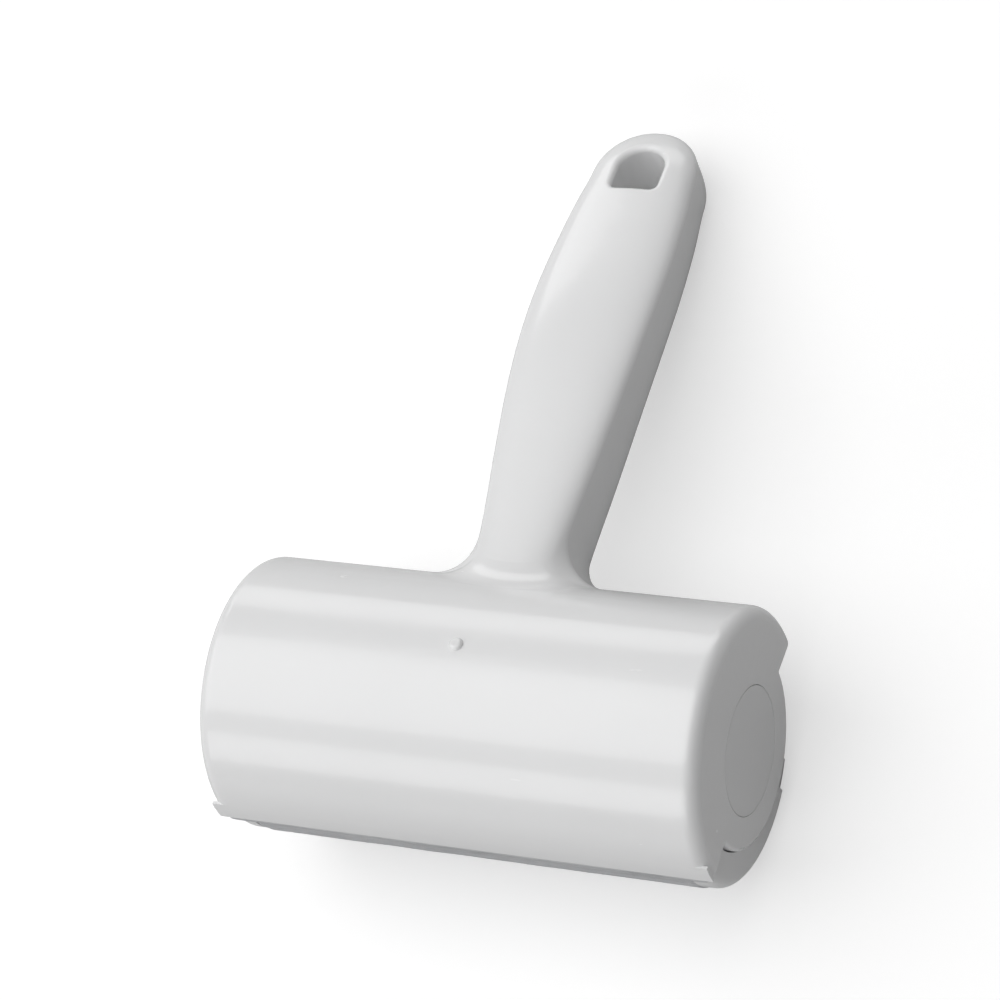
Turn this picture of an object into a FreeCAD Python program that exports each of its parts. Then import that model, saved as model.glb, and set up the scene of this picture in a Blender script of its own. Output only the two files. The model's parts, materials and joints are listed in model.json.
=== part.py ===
"""Hand-held lint and pet-hair roller with a rocking velvet drum.

Everything is drawn in the roller's own frame: X along the drum's axis, which
passes through the origin, Y towards the back and Z up along the handle.
Angles round the drum are counted from +Z towards +Y.  Each finished piece
then gets the same Placement, which lays the roller on its back, resting on
the rear lip bar and the handle's tip, with the handle along +Y.
"""
import math
import os
import re
from collections import namedtuple

import FreeCAD
import Part
import Sketcher

V = FreeCAD.Vector
doc = FreeCAD.newDocument("lint_roller")
sheet = doc.addObject("Spreadsheet::Sheet", "Dims")

# ----------------------------------------------------------------- sizes
# alias, value, meaning (millimetres and degrees)
DIMENSIONS = [
    ("housing_radius", 32.5, "outside radius of the drum housing"),
    ("housing_length", 124.0, "length of the drum housing"),
    ("end_round", 3.4, "rounding of the housing's end edges"),
    ("shell_wall", 1.5, "wall of the housing shell and its ends"),
    ("ear_radius", 22.75, "radius of the round ear at each end"),
    ("ear_wall", 2.6, "thickness of the ear"),
    ("ear_round", 1.0, "rounding of the ear's outer edge"),
    ("shell_rear", 33.0, "angle where the shell ends, behind the handle"),
    ("lip_lead", 2.0, "angle between the drum's edge at rest and the lip beyond it"),
    ("dot_angle", -61.0, "angle of the moulded dot"),
    ("dot_radius", 1.7, "radius of the moulded dot"),
    ("dot_height", 0.9, "height of the moulded dot"),
    ("root_back", -0.1, "Y of the handle's root"),
    ("root_rise", 7.3, "height of the handle's root above the housing"),
    ("handle_length", 119.5, "root to tip, along the handle"),
    ("handle_lean", 20.5, "lean of the lower handle from Z"),
    ("handle_bend", 11.5, "extra lean of the upper handle"),
    ("bend_start", 38.0, "where the bend starts, from the root"),
    ("bend_length", 34.0, "length of the bend"),
    ("neck_half", 10.8, "half width of the neck"),
    ("neck_place", 4.0, "place of the narrowest section"),
    ("grip_half", 15.9, "half width of the grip"),
    ("grip_place", 68.0, "place of the widest section"),
    ("tip_half", 13.4, "half width where the tip starts to round"),
    ("tip_round", 14.0, "length of the rounded tip"),
    ("neck_depth", 21.3, "depth of the neck behind its front edges"),
    ("tip_depth", 14.0, "depth of the tip behind its front edges"),
    ("crown", 4.6, "rise of the handle's front face"),
    ("front_fullness", 2.2, "how full the crowned front is; 2 is an ellipse"),
    ("rear_fullness", 5.0, "how boxy the back is; 2 is an ellipse"),
    ("flare_radius", 11.0, "fillet between handle and housing"),
    ("handle_wall", 2.2, "wall of the hollow handle"),
    ("cavity_start", -1.6, "lower end of the handle's hollow"),
    ("cavity_end", 92.0, "upper end of the handle's hollow"),
    ("cavity_front", 0.2, "front wall of the hollow, behind the front edges"),
    ("cover_wall", 3.4, "thickness of the handle's back cover"),
    ("cover_gap", 0.12, "gap round the back cover"),
    ("hole_place", 105.9, "middle of the hanging hole"),
    ("hole_half", 5.9, "half width of the hanging hole"),
    ("hole_height", 12.8, "height of the hanging hole"),
    ("hole_corner", 1.8, "lower corner radius of the hanging hole"),
    ("hole_rim", 1.3, "rounding of the hanging hole's rim"),
    ("cap_radius", 14.8, "radius of the round end cap"),
    ("cap_thick", 1.15, "thickness of the end cap"),
    ("cap_gap", 0.15, "gap round the end cap"),
    ("pin_radius", 2.0, "radius of the pivot pin"),
    ("pin_gap", 0.06, "running clearance of the pivot, on the radius"),
    ("pin_reach", 9.3, "length of the pivot pin"),
    ("pin_head", 3.4, "radius of the pivot pin's head"),
    ("head_thick", 0.9, "thickness of the pin and screw heads"),
    ("plate_wall", 2.0, "thickness of the inner frame's end plate"),
    ("plate_inset", 0.35, "how far the inner frame's end plate stays inside the ear's edge"),
    ("lip_wall", 0.8, "thickness of the lips that the drum rocks under"),
    ("rebate_spare", 1.0, "angle by which the thinned shell outruns the drum's rock"),
    ("corner_sweep", 10.0, "angle over which the shell's end corners stay square at the lip"),
    ("rib_spare", 0.7, "angle left between the bar's rib and the rocked drum"),
    ("bar_inset", 1.1, "how far the rear lip bar and the door end short of the ears"),
    ("rib_sweep", 1.8, "angle taken by the bar's stiffening rib"),
    ("rib_depth", 5.0, "depth of the bar's stiffening rib"),
    ("arm_reach", 3.4, "how far the bar's end arms reach over the end plates"),
    ("arm_width", 2.5, "width of the bar's end arms"),
    ("lip_gap", 0.3, "gap between the drum and the lips"),
    ("rock_angle", 12.0, "how far the drum rocks to either side"),
    ("pad_thick", 2.6, "thickness of the velvet pads"),
    ("drum_wall", 2.0, "wall of the drum core"),
    ("drum_centre", 154.0, "angle of the middle of the brush opening"),
    ("drum_sweep", 96.0, "angle that the drum takes up"),
    ("core_wall_sweep", 4.0, "angle taken by the drum core's side walls"),
    ("drum_gap", 0.3, "gap between drum and end plates or walls"),
    ("cheek_wall", 1.8, "thickness of the drum's cheeks"),
    ("rim_gap", 0.35, "gap between the ear and the cheek's overhanging rim"),
    ("cheek_round", 2.6, "rounding of the cheek's outer edge"),
    ("hub_radius", 4.5, "radius of the drum's hub"),
    ("cheek_hub", 6.0, "radius of the cheek's hub"),
    ("blade_sweep", 1.6, "angle taken by the rubber blade"),
    ("blade_groove", 2.4, "angle between the two velvet pads"),
    ("blade_rise", 0.2, "rise of the blade above the pads"),
    ("lip_sweep", 2.8, "angle taken by each fixed lip strip"),
    ("door_flattening", 3.5, "how much larger the door's radius is than the housing's"),
    ("door_centre_back", -3.9, "Y of the door surface's centre"),
    ("door_centre_up", -7.7, "Z of the door surface's centre"),
    ("door_wall", 1.6, "wall of the dust door"),
    ("door_top", 35.5, "angle of the door's upper edge"),
    ("door_lip_sweep", 3.0, "angle taken by the door's upper wall"),
    ("door_side_step", 7.0, "angle between the door's side walls and its hinge"),
    ("door_side_gap", 0.85, "gap between the ear's edge and the door's side walls"),
    ("door_lip_gap", 1.85, "gap between the ear's edge and the door's upper wall"),
    ("hinge_step", 5.5, "angle between the door's hinge and the rear lip bar"),
    ("hinge_depth", 3.2, "depth of the hinge below the housing's radius"),
    ("barrel_radius", 2.0, "outside radius of the hinge barrels"),
    ("knuckle_width", 5.8, "width of the frame's hinge knuckles"),
    ("barrel_gap", 0.3, "gap between barrel and knuckle"),
    ("wire_radius", 1.0, "radius of the hinge pin"),
    ("wire_gap", 0.06, "running clearance of the hinge pin"),
    ("screw_radius", 1.1, "radius of the small screws"),
    ("screw_head", 2.2, "radius of the small screws' heads"),
    ("screw_reach", 7.4, "length of the frame screws"),
    ("screw_circle", 9.0, "distance of the frame screws from the axis"),
    ("screw_first", 20.0, "angle of the first frame screw"),
    ("screw_second", -70.0, "angle of the second frame screw"),
    ("boss_radius", 2.6, "radius of the screw bosses"),
    ("cover_screw_low", 32.0, "place of the lower handle screw"),
    ("cover_screw_high", 82.0, "place of the upper handle screw"),
    ("cover_screw_reach", 9.0, "length of the handle screws"),
    ("button_side_gap", 1.6, "gap between the button's flange and the handle's walls"),
    ("button_low", 6.0, "lower edge of the release button"),
    ("button_high", 19.0, "upper edge of the release button"),
    ("button_proud", 1.1, "how far the button stands out"),
    ("button_travel", 1.8, "travel of the release button"),
    ("button_flange", 1.5, "width of the flange round the button"),
    ("flange_thick", 3.0, "thickness of the button's flange"),
    ("button_gap", 0.35, "gap round the release button"),
    ("hook_half", 4.0, "half width of the latch hook"),
    ("hook_thick", 2.0, "thickness of the latch hook"),
    ("hook_low", -10.4, "lower end of the latch hook"),
    ("nose_reach", 5.4, "length of the latch hook's nose"),
    ("spring_radius", 2.6, "mean radius of the button spring"),
    ("spring_wire", 0.35, "radius of the spring wire"),
    ("spring_turns", 6.0, "turns of the button spring"),
    ("spring_length", 8.5, "length of the button spring"),
]

# alias, formula: sizes and places that follow from the ones above
DERIVED = [
    ("root_up", "=housing_radius + root_rise"),
    ("plate_radius", "=ear_radius - plate_inset"),
    ("drum_end", "=drum_centre + drum_sweep / 2"),
    ("drum_start", "=drum_centre - drum_sweep / 2"),
    ("shell_front", "=drum_end + lip_lead"),
    ("rebate_sweep", "=rock_angle + rebate_spare"),
    ("bar_start", "=drum_start - rock_angle - rib_sweep - rib_spare"),
    ("bar_end", "=drum_start - lip_lead"),
    ("hinge_angle", "=bar_start - hinge_step"),
    ("hinge_reach", "=housing_radius - hinge_depth"),
    ("door_radius", "=housing_radius + door_flattening"),
    ("door_side_end", "=hinge_angle - door_side_step"),
    ("door_inner", "=ear_radius + door_side_gap"),
    ("door_lip_inner", "=ear_radius + door_lip_gap"),
    ("rib_inner", "=housing_radius - rib_depth"),
    ("arm_inner", "=plate_radius - arm_reach"),
    ("button_half", "=neck_half - handle_wall - button_flange - button_side_gap"),
    ("half_length", "=housing_length / 2"),
    ("inner_radius", "=housing_radius - shell_wall"),
    ("inner_half", "=half_length - shell_wall"),
    ("ear_inner", "=half_length - ear_wall"),
    ("bar_half", "=ear_inner - bar_inset"),
    ("barrel_half", "=bar_half - knuckle_width - barrel_gap"),
    ("cap_floor", "=half_length - cap_thick - 0.05"),
    ("cap_inner", "=half_length - cap_thick"),
    ("recess_radius", "=cap_radius + cap_gap"),
    ("open_sweep", "=shell_front - shell_rear"),
    ("wedge_radius", "=housing_radius + 8"),
    ("head_inner", "=cap_floor - head_thick"),
    ("head_hole", "=pin_head + 0.1"),
    ("screw_head_hole", "=screw_head + 0.1"),
    ("pin_start", "=cap_floor - pin_reach"),
    ("pin_bore", "=pin_radius + pin_gap"),
    ("pin_relief", "=pin_radius + 0.4"),
    ("screw_start", "=cap_floor - screw_reach"),
    ("screw_clear", "=screw_radius + 0.15"),
    ("plate_inner", "=ear_inner - plate_wall"),
    ("boss_start", "=screw_start - 0.5"),
    ("lip_inner", "=housing_radius - lip_wall"),
    ("drum_radius", "=lip_inner - lip_gap"),
    ("rebate_end", "=shell_front + rebate_sweep"),
    ("corner_end", "=shell_front + corner_sweep"),
    ("rim_inner", "=ear_radius + rim_gap"),
    ("bar_sweep", "=bar_end - bar_start"),
    ("rib_end", "=bar_start + rib_sweep"),
    ("arm_start", "=bar_half - arm_width"),
    ("cheek_outer", "=plate_inner - drum_gap"),
    ("cheek_inner", "=cheek_outer - cheek_wall"),
    ("rim_outer", "=inner_half - drum_gap"),
    ("core_radius", "=drum_radius - pad_thick"),
    ("core_inner", "=core_radius - drum_wall"),
    ("core_length", "=2 * cheek_inner"),
    ("pin_bore_start", "=pin_start - 0.5"),
    ("pad_sweep", "=(drum_sweep - blade_groove) / 2"),
    ("rear_pad_end", "=drum_start + pad_sweep"),
    ("blade_end", "=drum_centre + blade_sweep / 2"),
    ("blade_radius", "=drum_radius + blade_rise"),
    ("blade_length", "=core_length - 1"),
    ("rear_lip_end", "=bar_end + lip_sweep"),
    ("knuckle_start", "=barrel_half + barrel_gap"),
    ("knuckle_sweep", "=bar_start - hinge_angle + 1"),
    ("knuckle_end", "=bar_start + 1"),
    ("knuckle_inner", "=hinge_reach - barrel_radius + 0.5"),
    ("knuckle_outer", "=hinge_reach + barrel_radius - 0.3"),
    ("hinge_back", "=hinge_reach * sin(hinge_angle * 1 deg)"),
    ("hinge_up", "=hinge_reach * cos(hinge_angle * 1 deg)"),
    ("wire_bore", "=wire_radius + wire_gap"),
    ("wire_half", "=bar_half - 0.2"),
    ("door_skin_inner", "=door_radius - door_wall"),
    ("door_sweep", "=hinge_angle - door_top"),
    ("door_side_sweep", "=door_side_end - door_top"),
    ("door_side_start", "=bar_half - door_wall"),
    ("door_lip_end", "=door_top + door_lip_sweep"),
    ("door_notch_sweep", "=hinge_angle + 4 - door_side_end"),
    ("door_notch_end", "=hinge_angle + 4"),
]

ROW = 1
for alias, value, meaning in DIMENSIONS:
    sheet.set("A%d" % ROW, alias)
    sheet.set("B%d" % ROW, repr(value))
    sheet.set("C%d" % ROW, meaning)
    sheet.setAlias("B%d" % ROW, alias)
    ROW += 1
for alias, formula in DERIVED:
    sheet.set("A%d" % ROW, alias)
    sheet.set("B%d" % ROW, formula)
    sheet.setAlias("B%d" % ROW, alias)
    ROW += 1
doc.recompute()


def size(alias):
    """The number in a sheet cell; a leading minus turns its sign."""
    if alias.startswith("-"):
        return -size(alias[1:])
    return float(sheet.get(alias))


# ------------------------------------------------------ the handle's shape
def ease(share):
    """Rises quickly from 0 and settles at 1."""
    share = min(max(share, 0.0), 1.0)
    return share * (1.5 - 0.5 * share * share)


def lean_at(place):
    """Lean of the handle's front edges from Z, in radians."""
    share = (place - size("bend_start")) / size("bend_length")
    share = min(max(share, 0.0), 1.0)
    return math.radians(size("handle_lean") + size("handle_bend") * share)


def spine_at(place):
    """The point between the handle's front edges, at a distance from the root."""
    steps = 60
    back = size("root_back")
    up = size("root_up")
    for number in range(steps):
        middle = place * (number + 0.5) / steps
        back += math.sin(lean_at(middle)) * place / steps
        up += math.cos(lean_at(middle)) * place / steps
    return back, up


def half_width_at(place):
    grip = size("grip_place")
    if place <= grip:
        share = (place - size("neck_place")) / (grip - size("neck_place"))
        return size("neck_half") + (size("grip_half") - size("neck_half")) * ease(share)
    round_start = size("handle_length") - size("tip_round")
    share = min((place - grip) / (round_start - grip), 1.0)
    return size("grip_half") - (size("grip_half") - size("tip_half")) * share * share


def depth_at(place):
    share = min(max(place / size("handle_length"), 0.0), 1.0)
    return size("neck_depth") - (size("neck_depth") - size("tip_depth")) * share


def tip_scale_at(place):
    """How much the rounded tip narrows the section, in width and in depth."""
    round_start = size("handle_length") - size("tip_round")
    share = max((place - round_start) / size("tip_round"), 0.0)
    share = min(share, 0.995)
    return math.sqrt(1.0 - share ** 2), (1.0 - share ** 9) ** (1.0 / 3.0)


Section = namedtuple("Section", "centre forward half rise depth")


def across_section(place):
    """One section across the handle, at a distance from the root."""
    back, up = spine_at(place)
    lean = lean_at(place)
    narrow, thin = tip_scale_at(place)
    forward = V(0, -math.cos(lean), math.sin(lean))
    half = half_width_at(place) * narrow
    depth = depth_at(place) * (0.5 + 0.5 * thin)
    return Section(V(0, back, up), forward, half, size("crown") * narrow, depth)


def section_wire(place):
    """The outline across the handle: crowned in front, boxy with soft corners behind."""
    centre, forward, half, rise, depth = across_section(place)
    points = []
    count = 32
    for number in range(count):
        turn = 2 * math.pi * number / count
        across = math.cos(turn)
        ahead = math.sin(turn)
        fullness, reach = ("front_fullness", rise) if ahead >= 0 else ("rear_fullness", depth)
        power = 2 / size(fullness)
        sideways = half * math.copysign(abs(across) ** power, across)
        onwards = reach * math.copysign(abs(ahead) ** power, ahead)
        points.append(centre + V(sideways, 0, 0) + forward * onwards)
    curve = Part.BSplineCurve()
    curve.interpolate(Points=points, PeriodicFlag=True)
    return Part.Wire([curve.toShape()])


def box_wire(place, side, front, rear):
    """A rectangle across the handle, side inwards from its flanks.

    It reaches from front to rear, both measured backwards from the front edges.
    """
    section = across_section(place)
    sideways = V(section.half - side, 0, 0)
    near = section.centre - section.forward * front
    far = section.centre - section.forward * rear(section.depth)
    return Part.makePolygon([near - sideways, near + sideways, far + sideways, far - sideways,
                             near - sideways])


def box_loft(start, end, side, front, rear):
    """A straight-sided core that follows the handle from start to end."""
    steps = 10
    places = [start + (end - start) * number / steps for number in range(steps + 1)]
    return Part.makeLoft([box_wire(place, side, front, rear) for place in places], True, False)


def handle_outer():
    round_start = size("handle_length") - size("tip_round")
    root = -16.0
    places = [root + (round_start - root) * number / 14 for number in range(15)]
    for number in range(1, 9):
        places.append(round_start + size("tip_round") * math.sin(math.pi / 2 * number / 8) * 0.999)
    wires = [section_wire(place) for place in places]
    return Part.makeLoft(wires, True, False)


def handle_frame(place, across=0.0, backward=0.0, along=0.0):
    """A placement at a place on the spine: local Y points backwards, Z along the handle."""
    back, up = spine_at(place)
    turn = FreeCAD.Rotation(V(1, 0, 0), -math.degrees(lean_at(place)))
    frame = FreeCAD.Placement(V(0, back, up), turn)
    shift = FreeCAD.Placement(V(across, backward, along), FreeCAD.Rotation())
    return frame.multiply(shift)


# ------------------------------------------------------------ small helpers
ALIASES = {row[0] for row in DIMENSIONS + DERIVED}
ALONG_X = "rotation(vector(0; 1; 0); 90)"
nodes = {}


def linked(text):
    """A formula with each size written as a reference to the sheet."""
    def refer(match):
        word = match.group(0)
        return "Dims." + word if word in ALIASES else word
    return re.sub(r"[a-z][a-z_]*", refer, text)


def bind(piece, **formulas):
    for name, text in formulas.items():
        piece.setExpression(name, linked(text))
    return piece


def rod(name, radius, start, end, back="0", up="0"):
    """A cylinder parallel to the drum's axis."""
    piece = doc.addObject("Part::Cylinder", name)
    place = "placement(vector(%s; %s; %s); %s)" % (start, back, up, ALONG_X)
    return bind(piece, Radius=radius, Height="%s - (%s)" % (end, start), Placement=place)


def wedge(name, radius, start, end, top_angle, sweep):
    """A wedge of a cylinder round the drum's axis, from top_angle down by sweep."""
    piece = doc.addObject("Part::Cylinder", name)
    turn = "rotation(vector(1; 0; 0); 180 - (%s)) * %s" % (top_angle, ALONG_X)
    place = "placement(vector(%s; 0; 0); %s)" % (start, turn)
    return bind(piece, Radius=radius, Height="%s - (%s)" % (end, start), Angle=sweep, Placement=place)


def cut(name, base, *tools):
    for number, tool in enumerate(tools):
        piece = doc.addObject("Part::Cut", "%s_%d" % (name, number))
        piece.Base = base
        piece.Tool = tool
        base = piece
    return base


def join(name, *pieces):
    piece = doc.addObject("Part::MultiFuse", name)
    piece.Shapes = list(pieces)
    return piece


def overlap(name, first, second):
    piece = doc.addObject("Part::Common", name)
    piece.Base = first
    piece.Tool = second
    return piece


def group(name, *pieces):
    piece = doc.addObject("Part::Compound", name)
    piece.Links = list(pieces)
    return piece


def arc_shell(name, outer, inner, start, end, top_angle, sweep):
    """A curved plate round the drum's axis."""
    solid = wedge(name + "_solid", outer, start, end, top_angle, sweep)
    hollow = rod(name + "_hollow", inner, start + " - 1", end + " + 1")
    return cut(name, solid, hollow)


def fixed_shape(name, shape):
    piece = doc.addObject("Part::Feature", name)
    piece.Shape = shape
    return piece


def peg(name, frame, radius, length):
    """A cylinder that points backwards out of the handle."""
    piece = doc.addObject("Part::Cylinder", name)
    turn = FreeCAD.Placement(V(0, 0, 0), FreeCAD.Rotation(V(1, 0, 0), -90))
    piece.Placement = frame.multiply(turn)
    return bind(piece, Radius=radius, Height=length)


def rounded(name, base, radius, chooses):
    """A fillet on the edges whose sample points all satisfy a test."""
    doc.recompute()
    numbers = []
    for number, edge in enumerate(base.Shape.Edges, 1):
        first, last = edge.FirstParameter, edge.LastParameter
        samples = [edge.valueAt(first + (last - first) * step / 8) for step in range(9)]
        if all(chooses(point) for point in samples):
            numbers.append(number)
    piece = doc.addObject("Part::Fillet", name)
    piece.Base = base
    piece.Edges = [(number, size(radius), size(radius)) for number in numbers]
    return piece


def turned(label, outline):
    """A body turned round the drum's axis from (place, radius) corners, by alias."""
    body = doc.addObject("PartDesign::Body", label + "_body")
    plane = [item for item in body.Origin.OriginFeatures if item.Role == "XY_Plane"][0]
    sketch = body.newObject("Sketcher::SketchObject", label + "_outline")
    sketch.AttachmentSupport = [(plane, "")]
    sketch.MapMode = "FlatFace"
    corners = [V(size(along), size(radius) if radius else 0.0, 0) for along, radius in outline]
    count = len(corners)
    for number in range(count):
        sketch.addGeometry(Part.LineSegment(corners[number], corners[(number + 1) % count]), False)
    for number in range(count):
        following = (number + 1) % count
        sketch.addConstraint(Sketcher.Constraint("Coincident", number, 2, following, 1))
    for number, (along, radius) in enumerate(outline):
        rule = Sketcher.Constraint("DistanceX", -1, 1, number, 1, size(along))
        index = sketch.addConstraint(rule)
        sketch.setExpression("Constraints[%d]" % index, linked(along))
        if radius:
            rule = Sketcher.Constraint("DistanceY", -1, 1, number, 1, size(radius))
            index = sketch.addConstraint(rule)
            sketch.setExpression("Constraints[%d]" % index, linked(radius))
        else:
            sketch.addConstraint(Sketcher.Constraint("PointOnObject", number, 1, -1))
    turning = body.newObject("PartDesign::Revolution", label + "_turning")
    turning.Profile = sketch
    turning.ReferenceAxis = (sketch, ["H_Axis"])
    turning.Angle = 360.0
    return body


def finish(label, piece):
    """Names a finished piece; all of them are laid down together at the end."""
    piece.Label = label
    nodes[label] = piece


SIDES = [("left", -1), ("right", 1)]


def span(side, near, far):
    """Start and end along X of something between near and far, on one side."""
    if side > 0:
        return near, far
    return "-(%s)" % far, "-(%s)" % near


def polar(reach, angle):
    """Back and up of a point given by its distance and angle round the drum."""
    return "%s * sin(%s * 1 deg)" % (reach, angle), "%s * cos(%s * 1 deg)" % (reach, angle)


# --------------------------------------------------------------- the housing
def housing_form():
    """Barrel and handle as one smooth outer form, with the hanging hole."""
    barrel = rod("barrel", "housing_radius", "-half_length", "half_length")
    barrel = rounded("barrel_rounded", barrel, "end_round", lambda p: abs(p.x) > 1)
    handle = fixed_shape("handle_form", handle_outer())
    joined = join("barrel_and_handle", barrel, handle)

    def at_root(point):
        on_barrel = abs(math.hypot(point.y, point.z) - size("housing_radius")) < 0.02
        return on_barrel and abs(point.x) < size("grip_half") + 4 and point.z > 0

    return rounded("flared", joined, "flare_radius", at_root)


def hole_prism():
    """The hanging hole: flat below, with small corners, and round above."""
    half = size("hole_half")
    low = half - size("hole_height")
    corner = size("hole_corner")
    bend = corner * (1 - math.sqrt(0.5))
    reach = 40.0
    floor_right = V(half - corner, 0, low)
    side_right = V(half, 0, low + corner)
    side_left = V(-half, 0, low + corner)
    floor_left = V(-half + corner, 0, low)
    edges = [
        Part.makeLine(floor_left, floor_right),
        Part.Arc(floor_right, V(half - bend, 0, low + bend), side_right).toShape(),
        Part.makeLine(side_right, V(half, 0, 0)),
        Part.Arc(V(half, 0, 0), V(0, 0, half), V(-half, 0, 0)).toShape(),
        Part.makeLine(V(-half, 0, 0), side_left),
        Part.Arc(side_left, V(-half + bend, 0, low + bend), floor_left).toShape(),
    ]
    prism = Part.Face(Part.Wire(edges)).extrude(V(0, reach, 0))
    prism.Placement = handle_frame(size("hole_place"), backward=-reach / 2)
    return prism


def near_hole(point):
    local = handle_frame(size("hole_place")).inverse().multVec(point)
    half = size("hole_half")
    inside = abs(local.x) < half + 0.05 and abs(local.z) < size("hole_height") - half + 0.05
    if not inside:
        return False
    low = half - size("hole_height")
    on_side = abs(abs(local.x) - half) < 0.05
    on_floor = abs(local.z - low) < 0.05
    on_top = local.z > -0.05 and abs(math.hypot(local.x, local.z) - half) < 0.05
    corner = size("hole_corner")
    beside = abs(local.x) > half - corner - 0.05 and local.z < low + corner + 0.05
    return on_side or on_floor or on_top or beside


def add_housing():
    form = housing_form()
    hollow = rod("housing_bore", "inner_radius", "-inner_half", "inner_half")
    opening = wedge("back_opening", "wedge_radius", "-half_length - 1", "half_length + 1",
                    "shell_front", "open_sweep")
    cavity = box_loft(size("cavity_start"), size("cavity_end"), size("handle_wall"),
                      size("cavity_front"), lambda depth: depth + 3)
    rebate = wedge("lip_rebate", "lip_inner", "-inner_half", "inner_half",
                   "rebate_end", "rebate_sweep + 1")
    holed = cut("hollowed", form, fixed_shape("handle_hollow", cavity), opening, hollow, rebate,
                fixed_shape("hanging_hole", hole_prism()))
    to_hole = handle_frame(size("hole_place")).inverse()

    def on_rim(point):
        # the hole's straight wall edges reach from front to back, so they fail this half way
        backward = to_hole.multVec(point).y
        return near_hole(point) and (backward < 0 or backward > size("tip_depth") / 2)

    shell = rounded("hole_rim_rounded", holed, "hole_rim", on_rim)
    ears = []
    for name, side in SIDES:
        start, end = span(side, "ear_inner", "half_length")
        ear = rod("ear_" + name, "ear_radius", start, end)
        outer = size("half_length")
        ears.append(rounded("ear_rounded_" + name, ear, "ear_round",
                            lambda p: abs(abs(p.x) - outer) < 0.01))
    dot_base = doc.addObject("Part::Cylinder", "dot")
    back, up = polar("(housing_radius - 0.5)", "dot_angle")
    bind(dot_base, Radius="dot_radius", Height="dot_height + 0.5",
         Placement="placement(vector(0; %s; %s); rotation(vector(1; 0; 0); -dot_angle))" % (back, up))
    reach = size("housing_radius") + size("dot_height")
    dot = rounded("dot_rounded", dot_base, "dot_height",
                  lambda p: math.hypot(p.y, p.z) > reach - 0.02)
    bosses = []
    for name, place in (("low", "cover_screw_low"), ("high", "cover_screw_high")):
        front = size("cavity_front") - 1
        boss = peg("boss_" + name, handle_frame(size(place), backward=front), "boss_radius", "1")
        boss.setExpression("Height", None)
        boss.Height = depth_at(size(place)) - size("cover_wall") - 0.05 - front
        bosses.append(boss)
    middle = (size("button_low") + size("button_high")) / 2
    front = size("cavity_front") - 1
    seat = peg("spring_seat", handle_frame(0, backward=front, along=middle), "spring_radius + 1.4", "1")
    seat.setExpression("Height", None)
    seat.Height = spring_foot() - front
    corners = []
    for name, side in SIDES:
        start, end = span(side, "half_length - end_round - 1", "half_length")
        corners.append(arc_shell("lip_corner_" + name, "housing_radius", "lip_inner", start, end,
                                 "corner_end", "corner_sweep"))
    joined = join("shell_and_ears", shell, *ears, *corners, dot, *bosses, seat)
    tools = []
    for name, side in SIDES:
        start, end = span(side, "cap_floor", "half_length + 1")
        tools.append(rod("cap_recess_" + name, "recess_radius", start, end))
        start, end = span(side, "head_inner", "cap_floor + 1")
        tools.append(rod("head_recess_" + name, "head_hole", start, end))
        start, end = span(side, "ear_inner - 1", "half_length")
        tools.append(rod("pin_hole_" + name, "pin_bore", start, end))
        for order, angle in (("first", "screw_first"), ("second", "screw_second")):
            back, up = polar("screw_circle", angle)
            start, end = span(side, "head_inner", "cap_floor + 1")
            tag = "%s_%s" % (order, name)
            tools.append(rod("screw_recess_" + tag, "screw_head_hole", start, end, back, up))
            start, end = span(side, "ear_inner - 1", "half_length")
            tools.append(rod("screw_hole_" + tag, "screw_clear", start, end, back, up))
    for name, place in (("low", "cover_screw_low"), ("high", "cover_screw_high")):
        depth = depth_at(size(place)) - size("cover_wall")
        frame = handle_frame(size(place), backward=depth - size("cover_screw_reach"))
        tools.append(peg("thread_" + name, frame, "screw_radius", "cover_screw_reach + 1"))
    slot_low = size("hook_low") + size("hook_thick") - 1.0
    slot_top = size("cavity_start") + 1.0
    slot = doc.addObject("Part::Box", "latch_slot")
    clearance = size("button_gap") + 0.2
    slot.Placement = handle_frame(0, -size("hook_half") - clearance,
                                  hook_front() - size("button_travel") - clearance, slot_low)
    slot.Length = 2 * (size("hook_half") + clearance)
    slot.Width = size("hook_thick") + size("button_travel") + 2 * clearance
    slot.Height = slot_top - slot_low
    tools.append(slot)
    finish("main_housing", cut("main_housing", joined, *tools))
    return form


def spring_foot():
    """Where the button spring stands, behind the handle's front edges."""
    return flange_inner() - size("spring_length")


def flange_outer():
    """Outer face of the button's flange, just inside the back cover."""
    upper = size("button_high") + size("button_flange")
    return depth_at(upper) - size("cover_wall") - 0.3


def flange_inner():
    return flange_outer() - size("flange_thick")


def hook_front():
    return flange_outer() - size("hook_thick")


def add_handle_cover(form):
    """The back cover follows the handle's own surface and fills its open back."""
    gap = size("cover_gap")
    start = size("cavity_start") + gap
    end = size("cavity_end") - gap
    side = size("handle_wall") + gap
    wall = size("cover_wall")
    slab = box_loft(start, end, side, wall, lambda depth: depth + 3)
    below = box_loft(start - 1, end + 1, side - 1, wall - 1, lambda depth: depth - wall)
    plate = fixed_shape("cover_plate", form.Shape.common(slab.cut(below)))
    tools = []
    for name, place in (("low", "cover_screw_low"), ("high", "cover_screw_high")):
        depth = depth_at(size(place))
        hole = handle_frame(size(place), backward=depth - size("cover_wall") - 1)
        tools.append(peg("cover_hole_" + name, hole, "screw_clear", "cover_wall + 3"))
        seat = handle_frame(size(place), backward=screw_seat(place))
        tools.append(peg("cover_seat_" + name, seat, "screw_head_hole", "4"))
    gap = size("button_gap")
    width = size("button_half") + gap
    window = doc.addObject("Part::Box", "button_window")
    window.Placement = handle_frame(0, -width, flange_outer(), size("button_low") - gap)
    window.Length = 2 * width
    window.Width = 10
    window.Height = size("button_high") - size("button_low") + 2 * gap
    tools.append(window)
    finish("handle_back_cover", cut("handle_back_cover", plate, *tools))


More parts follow.
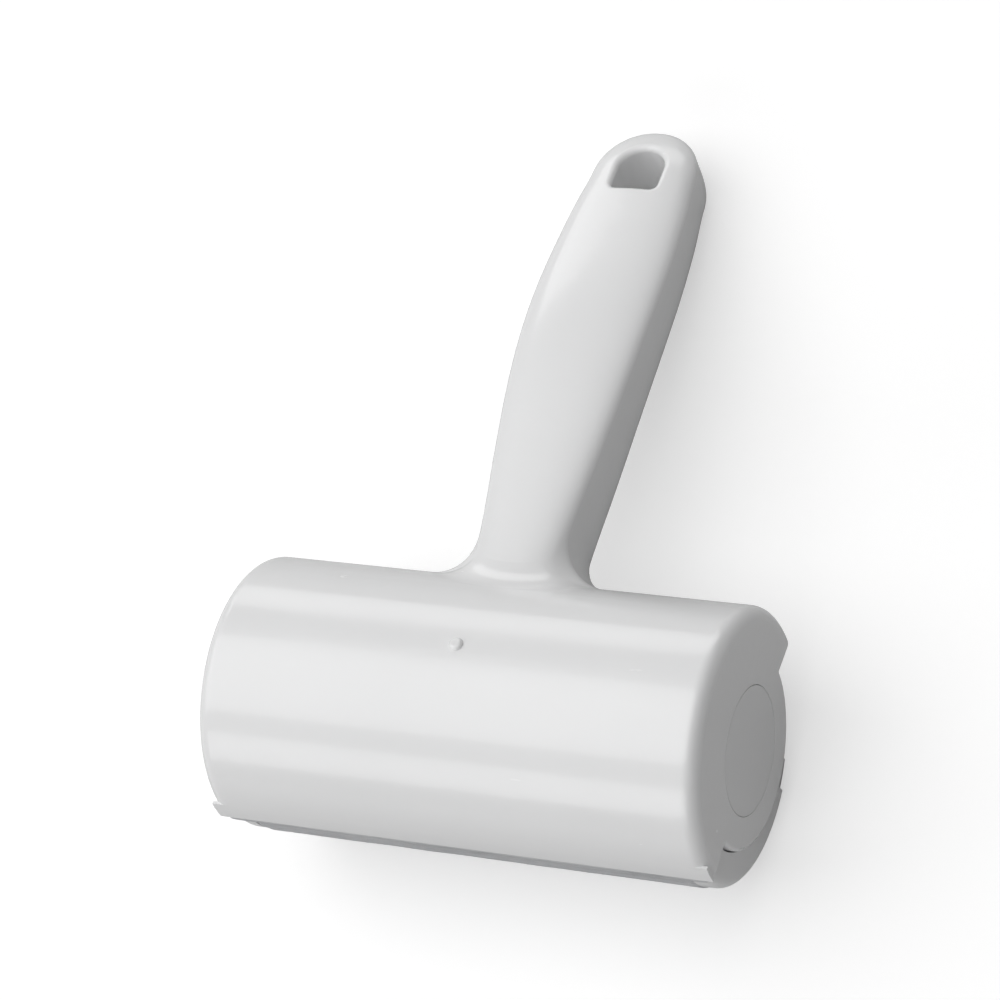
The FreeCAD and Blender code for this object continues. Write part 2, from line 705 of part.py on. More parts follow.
def screw_seat(place):
    """Where a handle screw's head sits, just under the back cover's surface."""
    return depth_at(size(place)) - size("head_thick") - 0.25


def add_handle_screws():
    screws = []
    for name, place in (("low", "cover_screw_low"), ("high", "cover_screw_high")):
        seat = screw_seat(place)
        start = depth_at(size(place)) - size("cover_wall") - size("cover_screw_reach")
        under_head = handle_frame(size(place), backward=seat)
        head = peg("handle_screw_head_" + name, under_head, "screw_head", "head_thick")
        shank_end = handle_frame(size(place), backward=start)
        shank = peg("handle_screw_shank_" + name, shank_end, "screw_radius", "1")
        shank.setExpression("Height", None)
        shank.Height = seat - start + 0.2
        socket_floor = handle_frame(size(place), backward=seat + size("head_thick") * 0.4)
        socket = peg("handle_screw_socket_" + name, socket_floor, "screw_head * 0.4", "head_thick")
        solid = join("handle_screw_solid_" + name, head, shank)
        screws.append(cut("handle_screw_" + name, solid, socket))
    finish("handle_screws", group("handle_screws", *screws))


def add_button():
    half = size("button_half")
    low = size("button_low")
    high = size("button_high")
    middle = (low + high) / 2
    outer = depth_at(middle) + size("button_proud")
    pad = doc.addObject("Part::Box", "button_pad")
    pad.Placement = handle_frame(0, -half, flange_inner(), low)
    pad.Length = 2 * half
    pad.Width = outer - flange_inner()
    pad.Height = high - low
    frame = handle_frame(0).inverse()
    pad = rounded("button_pad_rounded", pad, "button_proud",
                  lambda p: frame.multVec(p).y > outer - 0.05)
    edge = size("button_flange")
    flange = doc.addObject("Part::Box", "button_flange_plate")
    flange.Placement = handle_frame(0, -half - edge, flange_inner(), low - edge)
    flange.Length = 2 * (half + edge)
    flange.Width = size("flange_thick")
    flange.Height = high - low + 2 * edge
    hook = doc.addObject("Part::Box", "latch_arm")
    hook.Placement = handle_frame(0, -size("hook_half"), hook_front(), size("hook_low"))
    hook.Length = 2 * size("hook_half")
    hook.Width = size("hook_thick")
    hook.Height = low - edge - size("hook_low") + 0.5
    nose = doc.addObject("Part::Box", "latch_nose")
    nose.Placement = handle_frame(0, -size("hook_half"), hook_front(), size("hook_low"))
    nose.Length = 2 * size("hook_half")
    nose.Width = size("hook_thick") + size("nose_reach")
    nose.Height = size("hook_thick") * 0.9
    finish("release_button", join("release_button", pad, flange, hook, nose))


def add_spring():
    """The coil spring between the handle's front wall and the button."""
    wire = size("spring_wire")
    length = size("spring_length") - 2 * wire
    turns = size("spring_turns")
    middle = (size("button_low") + size("button_high")) / 2
    helix = Part.makeHelix(length / turns, length, size("spring_radius"))
    start = V(size("spring_radius"), 0, 0)
    ring = Part.Wire([Part.makeCircle(wire, start, V(0, 1, 0))])
    coil = Part.Wire(helix.Edges).makePipeShell([ring], True, True)
    coil.Placement = handle_frame(0, 0, spring_foot() + wire, middle).multiply(
        FreeCAD.Placement(V(0, 0, 0), FreeCAD.Rotation(V(1, 0, 0), -90)))
    finish("button_spring", fixed_shape("button_spring", coil))


# ------------------------------------------------------- frame, drum and door
def add_frame():
    parts = []
    tools = []
    for name, side in SIDES:
        start, end = span(side, "plate_inner", "ear_inner")
        parts.append(rod("frame_plate_" + name, "plate_radius", start, end))
        start, end = span(side, "arm_start", "bar_half")
        parts.append(arc_shell("frame_arm_" + name, "rib_inner + 1", "arm_inner", start, end,
                               "rib_end", "rib_sweep"))
        start, end = span(side, "knuckle_start", "bar_half")
        back, up = "hinge_back", "hinge_up"
        parts.append(rod("knuckle_" + name, "barrel_radius", start, end, back, up))
        parts.append(arc_shell("knuckle_bridge_" + name, "knuckle_outer", "knuckle_inner", start, end,
                               "knuckle_end", "knuckle_sweep"))
        start, end = span(side, "knuckle_start - 1", "bar_half + 1")
        tools.append(rod("knuckle_bore_" + name, "wire_radius", start, end, back, up))
        start, end = span(side, "plate_inner - 1", "ear_inner + 1")
        tools.append(rod("frame_pin_bore_" + name, "pin_radius", start, end))
        for order, angle in (("first", "screw_first"), ("second", "screw_second")):
            back, up = polar("screw_circle", angle)
            tag = "%s_%s" % (order, name)
            start, end = span(side, "boss_start", "plate_inner + 0.5")
            parts.append(rod("frame_boss_" + tag, "boss_radius", start, end, back, up))
            start, end = span(side, "boss_start + 0.4", "ear_inner + 1")
            tools.append(rod("frame_thread_" + tag, "screw_radius", start, end, back, up))
    parts.append(arc_shell("lip_bar", "housing_radius", "lip_inner", "-bar_half", "bar_half",
                           "bar_end", "bar_sweep"))
    parts.append(arc_shell("lip_rib", "housing_radius", "rib_inner", "-bar_half", "bar_half",
                           "rib_end", "rib_sweep"))
    finish("inner_frame", cut("inner_frame", join("frame_joined", *parts), *tools))


def add_frame_screws():
    screws = []
    for name, side in SIDES:
        for order, angle in (("first", "screw_first"), ("second", "screw_second")):
            back, up = polar("screw_circle", angle)
            tag = "%s_%s" % (order, name)
            start, end = span(side, "screw_start", "cap_floor - 0.2")
            shank = rod("frame_screw_shank_" + tag, "screw_radius", start, end, back, up)
            start, end = span(side, "head_inner", "cap_floor")
            head = rod("frame_screw_head_" + tag, "screw_head", start, end, back, up)
            start, end = span(side, "head_inner + head_thick * 0.4", "cap_floor + 1")
            socket = rod("frame_screw_socket_" + tag, "screw_head * 0.4", start, end, back, up)
            solid = join("frame_screw_solid_" + tag, shank, head)
            screws.append(cut("frame_screw_" + tag, solid, socket))
    finish("frame_screws", group("frame_screws", *screws))


def add_turned_pieces():
    for name, side in SIDES:
        sign = "" if side > 0 else "-"
        cap = [("cap_inner", None), ("cap_inner", "cap_radius"),
               ("half_length", "cap_radius"), ("half_length", None)]
        finish("end_cap_" + name, turned("end_cap_" + name, [(sign + x, r) for x, r in cap]))
        pin = [("pin_start", None), ("pin_start", "pin_radius"), ("head_inner", "pin_radius"),
               ("head_inner", "pin_head"), ("cap_floor", "pin_head"), ("cap_floor", None)]
        finish("pivot_pin_" + name, turned("pivot_pin_" + name, [(sign + x, r) for x, r in pin]))


def add_drum():
    shell = arc_shell("core_shell", "core_radius", "core_inner", "-cheek_inner", "cheek_inner",
                      "drum_end", "drum_sweep")
    hub = rod("core_hub", "hub_radius", "-cheek_inner", "cheek_inner")
    walls = []
    for name, top in (("front", "drum_end"), ("rear", "drum_start + core_wall_sweep")):
        walls.append(wedge("core_wall_" + name, "core_inner + 0.5", "-cheek_inner", "cheek_inner",
                           top, "core_wall_sweep"))
    ribs = []
    for number, place in enumerate(("-cheek_inner / 2", "0", "cheek_inner / 2")):
        ribs.append(wedge("core_rib_%d" % number, "core_inner + 0.5", place + " - drum_wall / 2",
                          place + " + drum_wall / 2", "drum_end", "drum_sweep"))
    reliefs = []
    for name, side in SIDES:
        start, end = span(side, "pin_bore_start", "cheek_inner + 1")
        reliefs.append(rod("core_relief_" + name, "pin_relief", start, end))
    finish("drum_core", cut("drum_core", join("core_joined", shell, hub, *walls, *ribs), *reliefs))

    def at_rim(point):
        on_end = abs(point.x) > size("rim_outer") - 0.01
        return on_end and math.hypot(point.y, point.z) > size("drum_radius") - 0.01

    for name, side in SIDES:
        start, end = span(side, "cheek_inner", "cheek_outer")
        web = wedge("cheek_web_" + name, "drum_radius", start, end, "drum_end", "drum_sweep")
        disc = rod("cheek_hub_" + name, "cheek_hub", start, end)
        start, end = span(side, "cheek_outer - 0.3", "rim_outer")
        solid = wedge("cheek_rim_solid_" + name, "drum_radius", start, end, "drum_end", "drum_sweep")
        solid = rounded("cheek_rim_round_" + name, solid, "cheek_round", at_rim)
        inside = rod("cheek_rim_bore_" + name, "rim_inner", start + " - 1", end + " + 1")
        rim = cut("cheek_rim_" + name, solid, inside)
        start, end = span(side, "cheek_inner - 1", "cheek_outer + 1")
        bore = rod("cheek_bore_" + name, "pin_bore", start, end)
        joined = join("cheek_joined_" + name, web, disc, rim)
        finish("drum_cheek_" + name, cut("drum_cheek_" + name, joined, bore))
    for name, top in (("front", "drum_end"), ("rear", "rear_pad_end")):
        pad = arc_shell("velvet_pad_" + name, "drum_radius", "core_radius", "-cheek_inner", "cheek_inner",
                        top, "pad_sweep")
        finish("velvet_pad_" + name, pad)
    blade = arc_shell("drum_blade", "blade_radius", "core_radius", "-blade_length / 2", "blade_length / 2",
                      "blade_end", "blade_sweep")
    finish("drum_blade", blade)


def add_lip_strips():
    rear = arc_shell("lip_strip_rear", "housing_radius", "lip_inner", "-bar_half", "bar_half",
                     "rear_lip_end", "lip_sweep")
    finish("lip_strip_rear", rear)
    front = arc_shell("lip_strip_front", "housing_radius", "lip_inner", "-inner_half", "inner_half",
                      "shell_front", "lip_sweep")
    finish("lip_strip_front", front)


def add_door():
    centre = ("door_centre_back", "door_centre_up")
    hinge = ("hinge_back", "hinge_up")
    outer = rod("door_outer", "door_radius", "-bar_half", "bar_half", *centre)
    inner = rod("door_inner_cut", "door_skin_inner", "-bar_half - 1", "bar_half + 1", *centre)
    reach = wedge("door_reach", "wedge_radius", "-bar_half", "bar_half", "hinge_angle", "door_sweep")
    skin = overlap("door_skin", cut("door_shell", outer, inner), reach)
    notches = []
    walls = [skin]
    for name, side in SIDES:
        start, end = span(side, "barrel_half", "bar_half + 1")
        notches.append(wedge("door_notch_" + name, "wedge_radius", start, end,
                             "door_notch_end", "door_notch_sweep"))
        start, end = span(side, "door_side_start", "bar_half")
        slab = wedge("door_slab_" + name, "wedge_radius", start, end, "door_side_end", "door_side_sweep")
        disc = rod("door_disc_" + name, "door_radius - 0.4", start, end, *centre)
        hollow = rod("door_side_hollow_" + name, "door_inner", start + " - 1", end + " + 1")
        walls.append(cut("door_side_" + name, overlap("door_side_full_" + name, slab, disc), hollow))
    slab = wedge("door_lip_slab", "wedge_radius", "-bar_half", "bar_half",
                 "door_lip_end", "door_lip_sweep")
    disc = rod("door_lip_disc", "door_radius - 0.4", "-bar_half", "bar_half", *centre)
    hollow = rod("door_lip_hollow", "door_lip_inner", "-bar_half - 1", "bar_half + 1")
    walls.append(cut("door_lip", overlap("door_lip_full", slab, disc), hollow))
    notched = cut("door_notched", join("door_walls", *walls), *notches)
    barrel = rod("door_barrel", "barrel_radius", "-barrel_half", "barrel_half", *hinge)
    bore = rod("door_bore", "wire_bore", "-barrel_half - 1", "barrel_half + 1", *hinge)
    finish("dust_door", cut("dust_door", join("door_joined", notched, barrel), bore))
    finish("door_hinge_pin", rod("door_hinge_pin", "wire_radius", "-wire_half", "wire_half", *hinge))


form = add_housing()
add_handle_cover(form)
add_handle_screws()
add_button()
add_spring()
add_frame()
add_frame_screws()
add_turned_pieces()
add_drum()
add_lip_strips()
add_door()
doc.recompute()


# ------------------------------------------------------------ lay it down
def back_point(place):
    """A point on the middle of the handle's back, in the roller's own frame."""
    section = across_section(place)
    return section.centre - section.forward * section.depth


def rest_angle():
    """Angle round the drum that points down when bar and handle tip both touch."""
    low, high = size("bar_start"), size("bar_end")
    grip = size("grip_place")
    places = [grip + step for step in range(int(size("handle_length") - grip))]
    halvings = 40
    for _ in range(halvings):
        middle = (low + high) / 2
        down = V(0, math.sin(math.radians(middle)), math.cos(math.radians(middle)))
        deepest = max(back_point(place).dot(down) for place in places)
        if deepest > size("housing_radius"):
            low = middle
        else:
            high = middle
    return high


lay_angle = rest_angle() - 180
turn = FreeCAD.Rotation(V(1, 0, 0), lay_angle)
low_z = []
low_y = []
high_y = []
for label, piece in nodes.items():
    shape = piece.Shape.copy()
    shape.Placement = FreeCAD.Placement(V(0, 0, 0), turn).multiply(shape.Placement)
    box = shape.optimalBoundingBox(False, False)
    low_z.append(box.ZMin)
    low_y.append(box.YMin)
    high_y.append(box.YMax)
for alias, value in (("lay_angle", lay_angle), ("rest_height", -min(low_z)),
                     ("rest_shift", -(min(low_y) + max(high_y)) / 2)):
    sheet.set("A%d" % ROW, alias)
    sheet.set("B%d" % ROW, repr(value))
    sheet.setAlias("B%d" % ROW, alias)
    ALIASES.add(alias)
    ROW += 1
doc.recompute()
LAID = "placement(vector(0; rest_shift; rest_height); rotation(vector(1; 0; 0); lay_angle))"
for label, piece in nodes.items():
    if piece.TypeId in ("Part::Cylinder", "Part::Feature"):
        holder = doc.addObject("Part::Compound", label + "_laid")
        holder.Links = [piece]
        piece.Label = label + "_form"
        holder.Label = label
        nodes[label] = holder
        piece = holder
    bind(piece, Placement=LAID)
doc.recompute()

# ------------------------------------------------------------- check, write
for piece in doc.Objects:
    if "Invalid" in piece.State or "Error" in piece.State:
        raise RuntimeError("%s failed: %s" % (piece.Label, piece.State))
for label, piece in nodes.items():
    if piece.Shape.isNull() or not piece.Shape.isValid() or not piece.Shape.Solids:
        raise RuntimeError(label + " has no valid solid")
os.makedirs("parts", exist_ok=True)
for label, piece in nodes.items():
    piece.Shape.exportStep("parts/%s.step" % label)
print("angle", lay_angle, "height", size("rest_height"), "shift", size("rest_shift"))
for label, piece in nodes.items():
    box = piece.Shape.BoundBox
    print("%-20s solids %d volume %9.1f  x %6.1f %6.1f  y %6.1f %6.1f  z %6.1f %6.1f" % (
        label, len(piece.Shape.Solids), piece.Shape.Volume,
        box.XMin, box.XMax, box.YMin, box.YMax, box.ZMin, box.ZMax))
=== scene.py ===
"""Looks of the lint roller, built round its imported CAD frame.

The roller lies on its back on a pale floor.  Lengths are in metres in the
row frame: +X along the drum's axis, +Y to the handle's tip, +Z up.
Angles round the drum are counted from straight down, growing towards -Y.
"""

import json
import math

import bmesh
import bpy
from mathutils import Matrix, Vector, noise


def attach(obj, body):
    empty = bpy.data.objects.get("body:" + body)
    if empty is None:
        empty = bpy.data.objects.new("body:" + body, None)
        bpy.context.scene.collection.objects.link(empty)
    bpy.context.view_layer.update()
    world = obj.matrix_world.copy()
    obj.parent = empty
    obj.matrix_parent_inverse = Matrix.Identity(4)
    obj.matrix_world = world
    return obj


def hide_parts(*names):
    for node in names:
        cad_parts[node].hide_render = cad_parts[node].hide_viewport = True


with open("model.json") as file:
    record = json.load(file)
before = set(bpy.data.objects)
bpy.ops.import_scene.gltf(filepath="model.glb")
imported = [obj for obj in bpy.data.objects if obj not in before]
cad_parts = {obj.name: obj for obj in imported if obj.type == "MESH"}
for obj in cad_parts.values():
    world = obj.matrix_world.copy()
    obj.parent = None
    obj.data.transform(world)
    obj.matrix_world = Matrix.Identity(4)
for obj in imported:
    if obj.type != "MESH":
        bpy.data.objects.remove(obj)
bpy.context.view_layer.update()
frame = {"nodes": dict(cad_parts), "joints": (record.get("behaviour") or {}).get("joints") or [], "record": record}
nodes = frame["nodes"]
MM = 0.001

joints = {joint["name"]: joint for joint in frame["joints"]}
drum_axis = Vector(joints["drum_rock"]["pos_m"])


# ------------------------------------------------------------ shader helpers
class Shader:
    """One Principled material with its noise, ramp and bump nodes."""

    def __init__(self, name, **constants):
        self.material = bpy.data.materials.new(name)
        self.material.use_nodes = True
        self.tree = self.material.node_tree
        self.surface = self.tree.nodes["Principled BSDF"]
        self.coordinates = self.tree.nodes.new("ShaderNodeTexCoord").outputs["Object"]
        self.height = None
        for socket, value in constants.items():
            self.surface.inputs[socket.replace("_", " ")].default_value = value

    def node(self, kind):
        return self.tree.nodes.new(kind)

    def link(self, source, target):
        self.tree.links.new(source, target)

    def stretched(self, scale):
        """Object coordinates with a scale for each axis, for grain with a direction."""
        mapping = self.node("ShaderNodeMapping")
        mapping.inputs["Scale"].default_value = scale
        self.link(self.coordinates, mapping.inputs["Vector"])
        return mapping.outputs["Vector"]

    def noise(self, scale, detail=3.0, roughness=0.5, vector=None):
        made = self.node("ShaderNodeTexNoise")
        made.inputs["Scale"].default_value = scale
        made.inputs["Detail"].default_value = detail
        made.inputs["Roughness"].default_value = roughness
        self.link(vector or self.coordinates, made.inputs["Vector"])
        return made.outputs["Fac"]

    def ramp(self, factor, *stops):
        made = self.node("ShaderNodeValToRGB")
        elements = made.color_ramp.elements
        while len(elements) < len(stops):
            elements.new(0.5)
        for element, (place, colour) in zip(elements, stops):
            element.position = place
            element.color = (*colour, 1.0)
        self.link(factor, made.inputs["Fac"])
        return made.outputs["Color"]

    def between(self, factor, low, high):
        made = self.node("ShaderNodeMapRange")
        made.inputs["To Min"].default_value = low
        made.inputs["To Max"].default_value = high
        self.link(factor, made.inputs["Value"])
        return made.outputs["Result"]

    def colour(self, output):
        self.link(output, self.surface.inputs["Base Color"])

    def rough(self, output):
        self.link(output, self.surface.inputs["Roughness"])

    def bump(self, height, depth):
        """Adds a relief of the given depth, in metres; several calls stack up."""
        made = self.node("ShaderNodeBump")
        made.inputs["Strength"].default_value = 1.0
        made.inputs["Distance"].default_value = depth
        self.link(height, made.inputs["Height"])
        if self.height:
            self.link(self.height, made.inputs["Normal"])
        self.height = made.outputs["Normal"]
        self.link(self.height, self.surface.inputs["Normal"])


def shade(colour, factor):
    return tuple(channel * factor for channel in colour)


# ------------------------------------------------------------ the materials
def glossy_plastic(name, colour, low=0.2, high=0.3):
    """Injection-moulded gloss: faint orange peel, handling marks, a clear top coat."""
    shader = Shader(name, Coat_Weight=0.35, Coat_Roughness=0.07, IOR=1.49)
    tone = shader.noise(18.0, detail=4.0)
    shader.colour(shader.ramp(tone, (0.3, shade(colour, 0.975)), (0.7, colour)))
    wiped = shader.noise(90.0, detail=5.0, vector=shader.stretched((1.0, 3.0, 3.0)))
    shader.rough(shader.between(wiped, low, high))
    shader.bump(shader.noise(420.0, detail=2.0), 0.00003)
    shader.bump(shader.noise(2600.0, detail=2.0), 0.000006)
    return shader.material


def satin_plastic(name, colour):
    """Inner mouldings with the fine spark-eroded texture of an unpolished tool."""
    shader = Shader(name, IOR=1.47)
    tone = shader.noise(40.0, detail=4.0)
    shader.colour(shader.ramp(tone, (0.3, shade(colour, 0.94)), (0.7, colour)))
    shader.rough(shader.between(shader.noise(900.0), 0.42, 0.58))
    shader.bump(shader.noise(2200.0, detail=3.0, roughness=0.7), 0.00005)
    return shader.material


def velvet(name, colour, across):
    """Short directional pile: brushed lighter and darker, with a soft sheen.

    across says how much finer the brushed grain is across X than along it.
    """
    shader = Shader(name, Sheen_Weight=0.7, Sheen_Roughness=0.35, Specular_IOR_Level=0.15)
    shader.surface.inputs["Sheen Tint"].default_value = (*colour, 1.0)
    grain = shader.stretched((1.0, across, across))
    brushed = shader.noise(55.0, detail=5.0, roughness=0.65, vector=grain)
    shader.colour(shader.ramp(brushed, (0.3, shade(colour, 0.82)), (0.5, colour),
                              (0.72, shade(colour, 1.08))))
    shader.rough(shader.between(brushed, 0.8, 0.97))
    tufts = shader.noise(3200.0, detail=3.0, roughness=0.75)
    shader.bump(brushed, 0.0004)
    shader.bump(tufts, 0.00022)
    return shader.material


def soft_rubber(name, colour):
    shader = Shader(name, Specular_IOR_Level=0.35)
    bloom = shader.noise(260.0, detail=4.0)
    shader.colour(shader.ramp(bloom, (0.35, colour), (0.8, shade(colour, 1.5))))
    shader.rough(shader.between(bloom, 0.55, 0.75))
    shader.bump(shader.noise(1800.0), 0.00004)
    return shader.material


def plated_steel(name, colour):
    """Turned and plated steel, with fine rings and a few dull spots."""
    shader = Shader(name, Metallic=1.0)
    rings = shader.noise(1500.0, detail=3.0, vector=shader.stretched((8.0, 1.0, 1.0)))
    spots = shader.noise(300.0, detail=4.0)
    shader.colour(shader.ramp(spots, (0.35, shade(colour, 0.8)), (0.65, colour)))
    shader.rough(shader.between(rings, 0.22, 0.42))
    shader.bump(rings, 0.00002)
    return shader.material


def floor_paper(name, colour, glow):
    """Pale paper, lit from below only as the camera sees it, which keeps its shadows faint."""
    shader = Shader(name, Specular_IOR_Level=0.1)
    shader.surface.inputs["Emission Color"].default_value = (1.0, 1.0, 1.0, 1.0)
    seen = shader.node("ShaderNodeLightPath").outputs["Is Camera Ray"]
    shader.link(shader.between(seen, 0.0, glow), shader.surface.inputs["Emission Strength"])
    shader.colour(shader.ramp(shader.noise(9.0), (0.3, shade(colour, 0.99)), (0.7, colour)))
    shader.rough(shader.between(shader.noise(300.0), 0.85, 0.95))
    return shader.material


WHITE = (0.86, 0.862, 0.865)
VELVET = (0.6, 0.605, 0.62)
MATERIALS = {
    "housing_plastic": glossy_plastic("gloss_white_shell", WHITE),
    "cap_plastic": glossy_plastic("gloss_white_cap", shade(WHITE, 0.97), 0.26, 0.38),
    "door_plastic": glossy_plastic("gloss_white_door", shade(WHITE, 0.985), 0.22, 0.33),
    "frame_plastic": satin_plastic("satin_inner_moulding", (0.74, 0.745, 0.75)),
    "button_plastic": satin_plastic("satin_button", (0.55, 0.56, 0.575)),
    "velvet": velvet("velvet_pile", VELVET, 4.0),
    "lip_velvet": velvet("lip_pile", shade(VELVET, 0.92), 2.0),
    "blade_rubber": soft_rubber("blade_rubber", (0.022, 0.022, 0.024)),
    "steel": plated_steel("plated_steel", (0.6, 0.6, 0.61)),
}


def dress_nodes():
    """Gives every CAD node the material of its slot in the record."""
    for row in frame["record"]["subparts"]:
        mesh = nodes[row["node"]].data
        mesh.materials.clear()
        mesh.materials.append(MATERIALS[row["material_slot"]])


# ------------------------------------------------------------ mesh helpers
def new_piece(name, mesh_data, slot, body):
    mesh = bpy.data.meshes.new(name)
    mesh_data.to_mesh(mesh)
    mesh_data.free()
    mesh.materials.append(MATERIALS[slot])
    piece = bpy.data.objects.new(name, mesh)
    bpy.context.scene.collection.objects.link(piece)
    for polygon in mesh.polygons:
        polygon.use_smooth = True
    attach(piece, body)
    return piece


def angle_of(point):
    """Degrees from straight down, growing towards -Y, of a point round the drum's axis."""
    return math.degrees(math.atan2(drum_axis.y - point.y, drum_axis.z - point.z))


def around(radius, degrees, along):
    """A point round the drum's axis, by its angle from straight down."""
    turn = math.radians(degrees)
    offset = Vector((0.0, -math.sin(turn), -math.cos(turn)))
    return Vector((along, drum_axis.y, drum_axis.z)) + offset * radius


def sector_of(node):
    """Lowest and highest angle, inner and outer radius, and half length of a curved CAD strip."""
    points = [vertex.co for vertex in nodes[node].data.vertices]
    angles = [angle_of(point) for point in points]
    radii = [math.hypot(point.y - drum_axis.y, point.z - drum_axis.z) for point in points]
    return min(angles), max(angles), min(radii), max(radii), max(abs(point.x) for point in points)


def closed_grid(rows):
    """A closed sheet with thickness: each row is a closed loop of points; ends are capped."""
    grid = bmesh.new()
    loops = [[grid.verts.new(point) for point in row] for row in rows]
    for first, second in zip(loops, loops[1:]):
        count = len(first)
        for number in range(count):
            following = (number + 1) % count
            grid.faces.new((first[number], first[following], second[following], second[number]))
    grid.faces.new(list(reversed(loops[0])))
    grid.faces.new(loops[-1])
    bmesh.ops.recalc_face_normals(grid, faces=grid.faces)
    return grid


# ------------------------------------------------------------ velvet pads
PILE_STEP = 0.6 * MM
PILE_ROUGHNESS = 0.09 * MM
PILE_FINE = 0.9 * MM
PILE_SLOW = 9.0 * MM
BACKING_GAP = 0.05 * MM
LEAST_PILE = 0.1 * MM
PAD_END_ROUND = 0.8 * MM
PAD_EDGE_ROUND = 0.7 * MM
PAD_CROWN = 0.45 * MM
SWELL_START = 0.28


def pile_height(along, degrees):
    """Uneven height of the pile: fine tufts on a slow swell."""
    place = Vector((along, math.radians(degrees) * 0.03, 0.0))
    fine = noise.noise(place / PILE_FINE)
    slow = noise.noise(place / PILE_SLOW + Vector((7.0, 3.0, 1.0)))
    return PILE_ROUGHNESS * (fine + 0.8 * slow)


def rounded_edge(distance, radius):
    """How far a rounded edge drops at a distance from the border."""
    if distance >= radius:
        return 0.0
    return radius - math.sqrt(max(radius ** 2 - (radius - distance) ** 2, 0.0))


def velvet_pad(node, blade_side):
    """A pad of pile: crowned, and rounded at its ends and edges.

    blade_side is 1 where the rubber blade lies beyond the pad's highest angle
    and 0 where it lies before its lowest.  The crown starts some way in from
    the other edge, so that edge slips under its fixed lip as the drum rocks.
    """
    low, high, inner, outer, half = sector_of(node)
    inner += BACKING_GAP
    steps_round = int(math.radians(high - low) * outer / PILE_STEP)
    steps_along = int(2 * half / PILE_STEP)
    rows = []
    for number in range(steps_along + 1):
        along = -half + 2 * half * number / steps_along
        end_drop = rounded_edge(half - abs(along), PAD_END_ROUND)
        top = []
        for step in range(steps_round + 1):
            share = step / steps_round
            degrees = low + (high - low) * share
            from_lip = share if blade_side else 1.0 - share
            raised = min(max((from_lip - SWELL_START) / (1.0 - SWELL_START), 0.0), 1.0)
            swell = math.sin(math.pi * raised)
            border = min(share, 1.0 - share) * math.radians(high - low) * outer
            drop = max(end_drop, rounded_edge(border, PAD_EDGE_ROUND))
            fade = min((half - abs(along)) / PAD_END_ROUND, 1.0)
            radius = outer - drop + PAD_CROWN * swell * fade + pile_height(along, degrees) * fade
            top.append(around(max(radius, inner + LEAST_PILE), degrees, along))
        bottom = [around(inner, high, along), around(inner, (low + high) / 2, along),
                  around(inner, low, along)]
        rows.append(top + bottom)
    pad = new_piece(node + "_pile", closed_grid(rows), "velvet", "drum")
    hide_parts(node)


STRIP_STEPS_ACROSS = 10
STRIP_EDGE_SHARE = 0.25
STRIP_BULGE_SHARE = 0.72


def lip_strip(node):
    """A narrow strip of pile, rounded across, along a fixed lip."""
    low, high, inner, outer, half = sector_of(node)
    steps_along = int(2 * half / PILE_STEP)
    rows = []
    for number in range(steps_along + 1):
        along = -half + 2 * half * number / steps_along
        taper = math.sqrt(max(1.0 - (abs(along) / half) ** 60, 0.0))
        loop = []
        for step in range(STRIP_STEPS_ACROSS + 1):
            share = step / STRIP_STEPS_ACROSS
            degrees = low + (high - low) * share
            bulge = math.sqrt(max(1.0 - (2 * share - 1) ** 4, 0.0))
            fullness = STRIP_EDGE_SHARE + STRIP_BULGE_SHARE * bulge * taper
            radius = inner + (outer - inner) * fullness
            radius += pile_height(along, degrees * 3) * bulge * 0.5
            loop.append(around(min(radius, outer), degrees, along))
        loop += [around(inner, high, along), around(inner, low, along)]
        rows.append(loop)
    strip = new_piece(node + "_pile", closed_grid(rows), "lip_velvet", "housing")
    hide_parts(node)


# ------------------------------------------------------------ the set
CAMERA_AZIMUTH = 59.25
CAMERA_ELEVATION = 60.84
CAMERA_ROLL = -50.32
CAMERA_DISTANCE = 0.941
CAMERA_LENS = 147.06
AIM_FROM_DRUM = Vector((-0.00489, 0.04843, 0.01455))


def add_camera():
    azimuth = math.radians(CAMERA_AZIMUTH)
    elevation = math.radians(CAMERA_ELEVATION)
    backward = Vector((math.sin(azimuth) * math.cos(elevation),
                       -math.cos(azimuth) * math.cos(elevation),
                       math.sin(elevation)))
    level = (-backward).to_track_quat("-Z", "Y").to_matrix()
    rolled = level @ Matrix.Rotation(math.radians(CAMERA_ROLL), 3, "Z")
    data = bpy.data.cameras.new("camera")
    data.lens = CAMERA_LENS
    data.clip_start = 0.01
    camera = bpy.data.objects.new("camera", data)
    place = drum_axis + AIM_FROM_DRUM + backward * CAMERA_DISTANCE
    camera.matrix_world = Matrix.Translation(place) @ rolled.to_4x4()
    bpy.context.scene.collection.objects.link(camera)
    bpy.context.scene.camera = camera


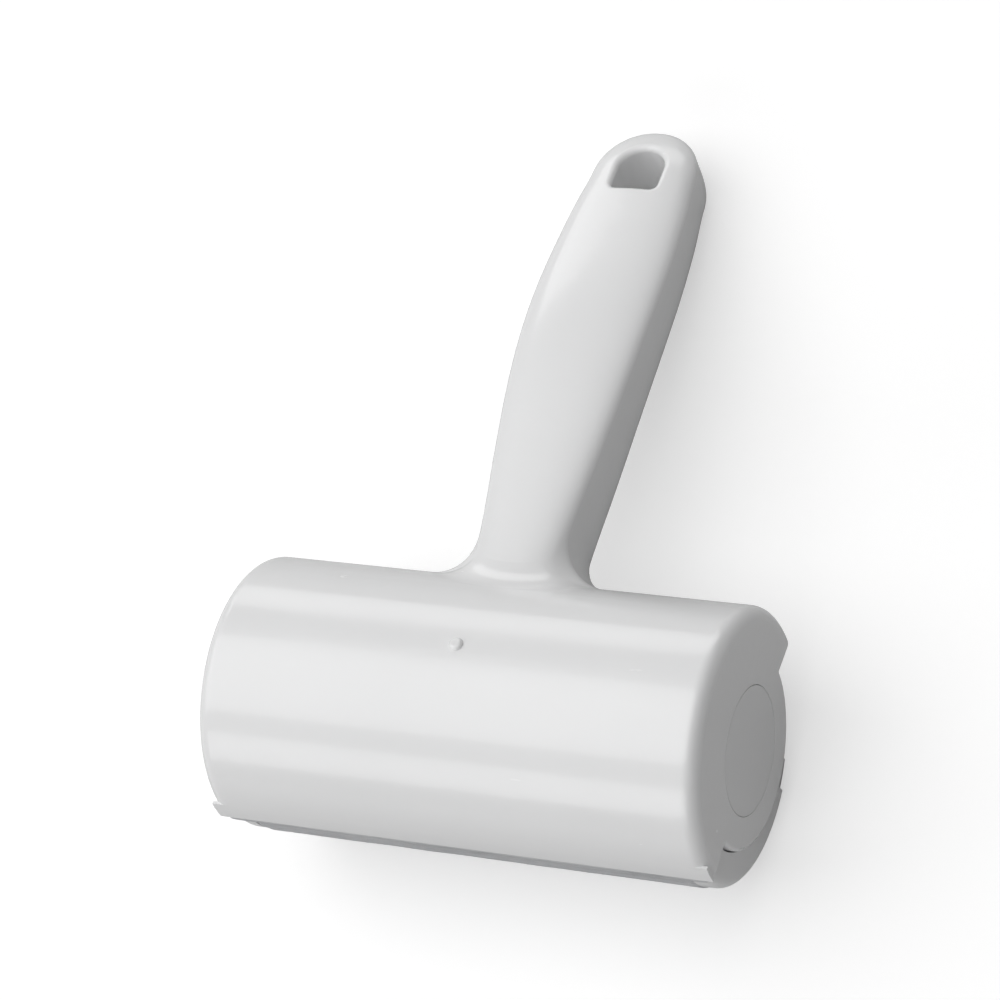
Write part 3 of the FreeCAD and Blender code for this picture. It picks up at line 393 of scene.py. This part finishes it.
FLOOR_HALF = 3.0
FLOOR_COLOUR = (0.6, 0.6, 0.6)
FLOOR_GLOW = 0.5


def add_floor():
    half = FLOOR_HALF
    sheet = bmesh.new()
    corners = [(-half, -half), (half, -half), (half, half), (-half, half)]
    sheet.faces.new([sheet.verts.new((x, y, 0.0)) for x, y in corners])
    mesh = bpy.data.meshes.new("floor")
    sheet.to_mesh(mesh)
    sheet.free()
    mesh.materials.append(floor_paper("floor_paper", FLOOR_COLOUR, FLOOR_GLOW))
    floor = bpy.data.objects.new("floor", mesh)
    bpy.context.scene.collection.objects.link(floor)


def add_softbox(name, place, size, radiance):
    """A soft area light that looks at the drum, with its first side as near to X as it can be.

    place is counted from the middle of the drum's axis; it and the sizes are in metres.
    """
    data = bpy.data.lights.new(name, "AREA")
    data.shape = "RECTANGLE"
    data.size, data.size_y = size
    data.energy = radiance * math.pi * size[0] * size[1]
    toward = Vector(place).normalized()
    across = (Vector((1.0, 0.0, 0.0)) - toward * toward.x).normalized()
    facing = Matrix((across, toward.cross(across), toward)).transposed()
    lamp = bpy.data.objects.new(name, data)
    lamp.matrix_world = Matrix.Translation(drum_axis + Vector(place)) @ facing.to_4x4()
    bpy.context.scene.collection.objects.link(lamp)


def add_lights():
    add_softbox("overhead", (-0.5, 0.0, 1.7), (2.9, 1.9), 1.85)
    add_softbox("front_fill", (-0.3, -1.5, 0.8), (1.6, 0.7), 2.0)
    add_softbox("behind", (-0.5, 1.5, 0.45), (1.8, 0.6), 2.0)
    world = bpy.data.worlds.new("studio")
    world.use_nodes = True
    background = world.node_tree.nodes["Background"]
    background.inputs["Color"].default_value = (1.0, 1.0, 1.0, 1.0)
    background.inputs["Strength"].default_value = 0.12
    bpy.context.scene.world = world
    bpy.context.scene.view_settings.view_transform = "Standard"


add_camera()
dress_nodes()
velvet_pad("velvet_pad_front", 0)
velvet_pad("velvet_pad_rear", 1)
lip_strip("lip_strip_front")
lip_strip("lip_strip_rear")
add_floor()
add_lights()
